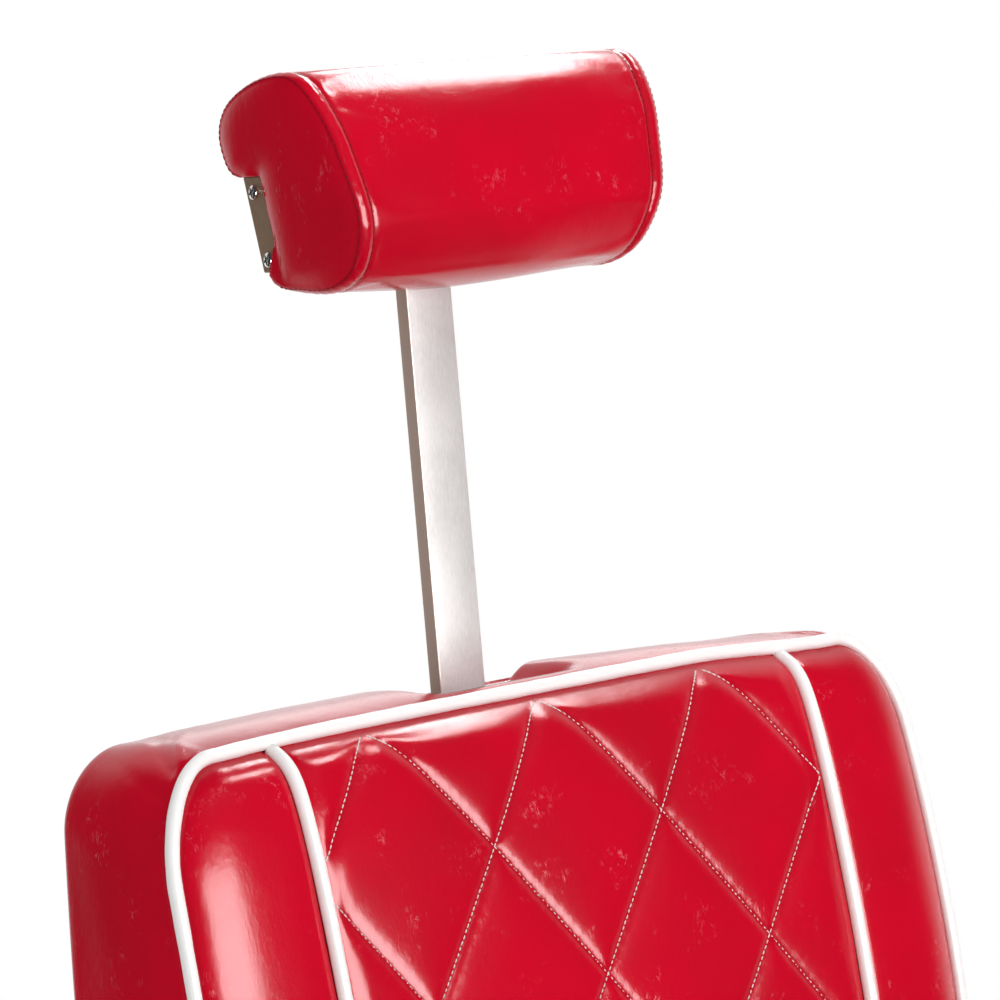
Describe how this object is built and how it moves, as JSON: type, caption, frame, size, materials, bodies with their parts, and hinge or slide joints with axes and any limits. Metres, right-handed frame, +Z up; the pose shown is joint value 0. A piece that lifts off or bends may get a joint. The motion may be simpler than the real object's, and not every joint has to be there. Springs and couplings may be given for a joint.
{
  "type": "barber chair",
  "caption": "Hydraulic barber chair with a quilted, piped back, a headrest on a sliding flat post, a linked leg rest, arm rests and a round pedestal base.",
  "frame": {"origin": "on the floor, on the axis of the pump and the swivel", "axes": "+Z up; the chair faces -Y; +X is the sitter's left"},
  "size_m": [0.734, 0.9664, 1.3768],
  "materials": {
    "red_vinyl": "gloss",
    "white_piping": "gloss",
    "chrome": "polished",
    "brushed_steel": "satin",
    "black_steel": "satin",
    "rubber": "matte",
    "plywood": "matte",
    "nylon": "satin"
  },
  "bodies": {
    "base": {"base_plate": "black_steel", "base_cover": "chrome", "base_ring": "rubber", "pump_housing": "black_steel", "pump_gland": "chrome"},
    "column": {"ram": "chrome", "thrust_bearing": "brushed_steel"},
    "pedal": {"pedal": "black_steel", "pedal_pad": "rubber", "pedal_pin": "brushed_steel"},
    "seat": {"swivel_hub": "black_steel", "mount_plate": "black_steel", "rail_left": "black_steel", "rail_right": "black_steel", "cross_rail_front": "black_steel", "cross_rail_rear": "black_steel", "back_bracket_left": "black_steel", "back_bracket_right": "black_steel", "leg_bracket_left": "black_steel", "leg_bracket_right": "black_steel", "seat_board": "plywood", "seat_cushion": "red_vinyl", "seat_edge_piping": "white_piping", "seat_divider_piping_left": "white_piping", "seat_divider_piping_right": "white_piping", "arm_tube_left": "chrome", "arm_tube_right": "chrome", "arm_pad_left": "red_vinyl", "arm_pad_right": "red_vinyl", "lock_barrel": "chrome", "lock_clamp": "black_steel"},
    "backrest": {"back_cushion": "red_vinyl", "back_edge_piping": "white_piping", "back_divider_piping_left": "white_piping", "back_divider_piping_right": "white_piping", "back_board": "plywood", "back_rear_panel": "red_vinyl", "back_arm_left": "black_steel", "back_arm_right": "black_steel", "torque_tube": "black_steel", "post_socket": "brushed_steel", "post_liner": "nylon", "post_plate": "chrome"},
    "headrest": {"headrest_post": "brushed_steel", "headrest_pad": "red_vinyl", "headrest_board": "plywood", "headrest_strap": "brushed_steel"},
    "legrest": {"leg_axle": "black_steel", "leg_arm_left": "black_steel", "leg_arm_right": "black_steel", "leg_board": "plywood", "leg_pad": "red_vinyl", "foot_plate": "chrome", "foot_mat": "rubber"},
    "link_left": {"link_rod_left": "brushed_steel"},
    "link_right": {"link_rod_right": "brushed_steel"},
    "lock_rod": {"lock_rod": "brushed_steel"},
    "lever": {"lever": "chrome", "lever_knob": "rubber"}
  },
  "joints": [
    {"name": "lift", "type": "slide", "parent": "base", "child": "column", "axis": [0, 0, 1], "range_m": [0, 0.15]},
    {"name": "swivel", "type": "hinge", "parent": "column", "child": "seat", "pos_m": [0, 0, 0.36], "axis": [0, 0, 1], "continuous": true},
    {"name": "pedal_stroke", "type": "hinge", "parent": "base", "child": "pedal", "pos_m": [-0.08, 0, 0.108], "axis": [0, -1, 0], "range_deg": [0, 10], "stiffness_Nm_per_rad": 15, "springref_deg": -8.59},
    {"name": "recline", "type": "hinge", "parent": "seat", "child": "backrest", "pos_m": [0, 0.265, 0.455], "axis": [-1, 0, 0], "range_deg": [0, 50]},
    {"name": "headrest_slide", "type": "slide", "parent": "backrest", "child": "headrest", "axis": [0, 0.1288, 0.9917], "range_m": [-0.19, 0.02]},
    {"name": "leg_swing", "type": "hinge", "parent": "seat", "child": "legrest", "pos_m": [0, -0.262, 0.422], "axis": [-1, 0, 0], "range_deg": [0, 50]},
    {"name": "link_left_pivot", "type": "hinge", "parent": "backrest", "child": "link_left", "pos_m": [0.2256, 0.265, 0.365], "axis": [-1, 0, 0], "range_deg": [-50, 0]},
    {"name": "link_right_pivot", "type": "hinge", "parent": "backrest", "child": "link_right", "pos_m": [-0.2256, 0.265, 0.365], "axis": [-1, 0, 0], "range_deg": [-50, 0]},
    {"name": "lock_slide", "type": "slide", "parent": "seat", "child": "lock_rod", "axis": [0, -1, 0], "range_m": [0, 0.0705]},
    {"name": "lever_turn", "type": "hinge", "parent": "seat", "child": "lever", "pos_m": [-0.25, 0.02, 0.43], "axis": [-1, 0, 0], "range_deg": [0, 25], "stiffness_Nm_per_rad": 3, "springref_deg": -5.73}
  ],
  "couplings": [
    {"joint": "leg_swing", "follows": "recline", "ratio": 1},
    {"joint": "link_left_pivot", "follows": "recline", "ratio": -1},
    {"joint": "link_right_pivot", "follows": "recline", "ratio": -1},
    {"joint": "lock_slide", "follows": "recline", "m_per_rad": 0.08015}
  ]
}
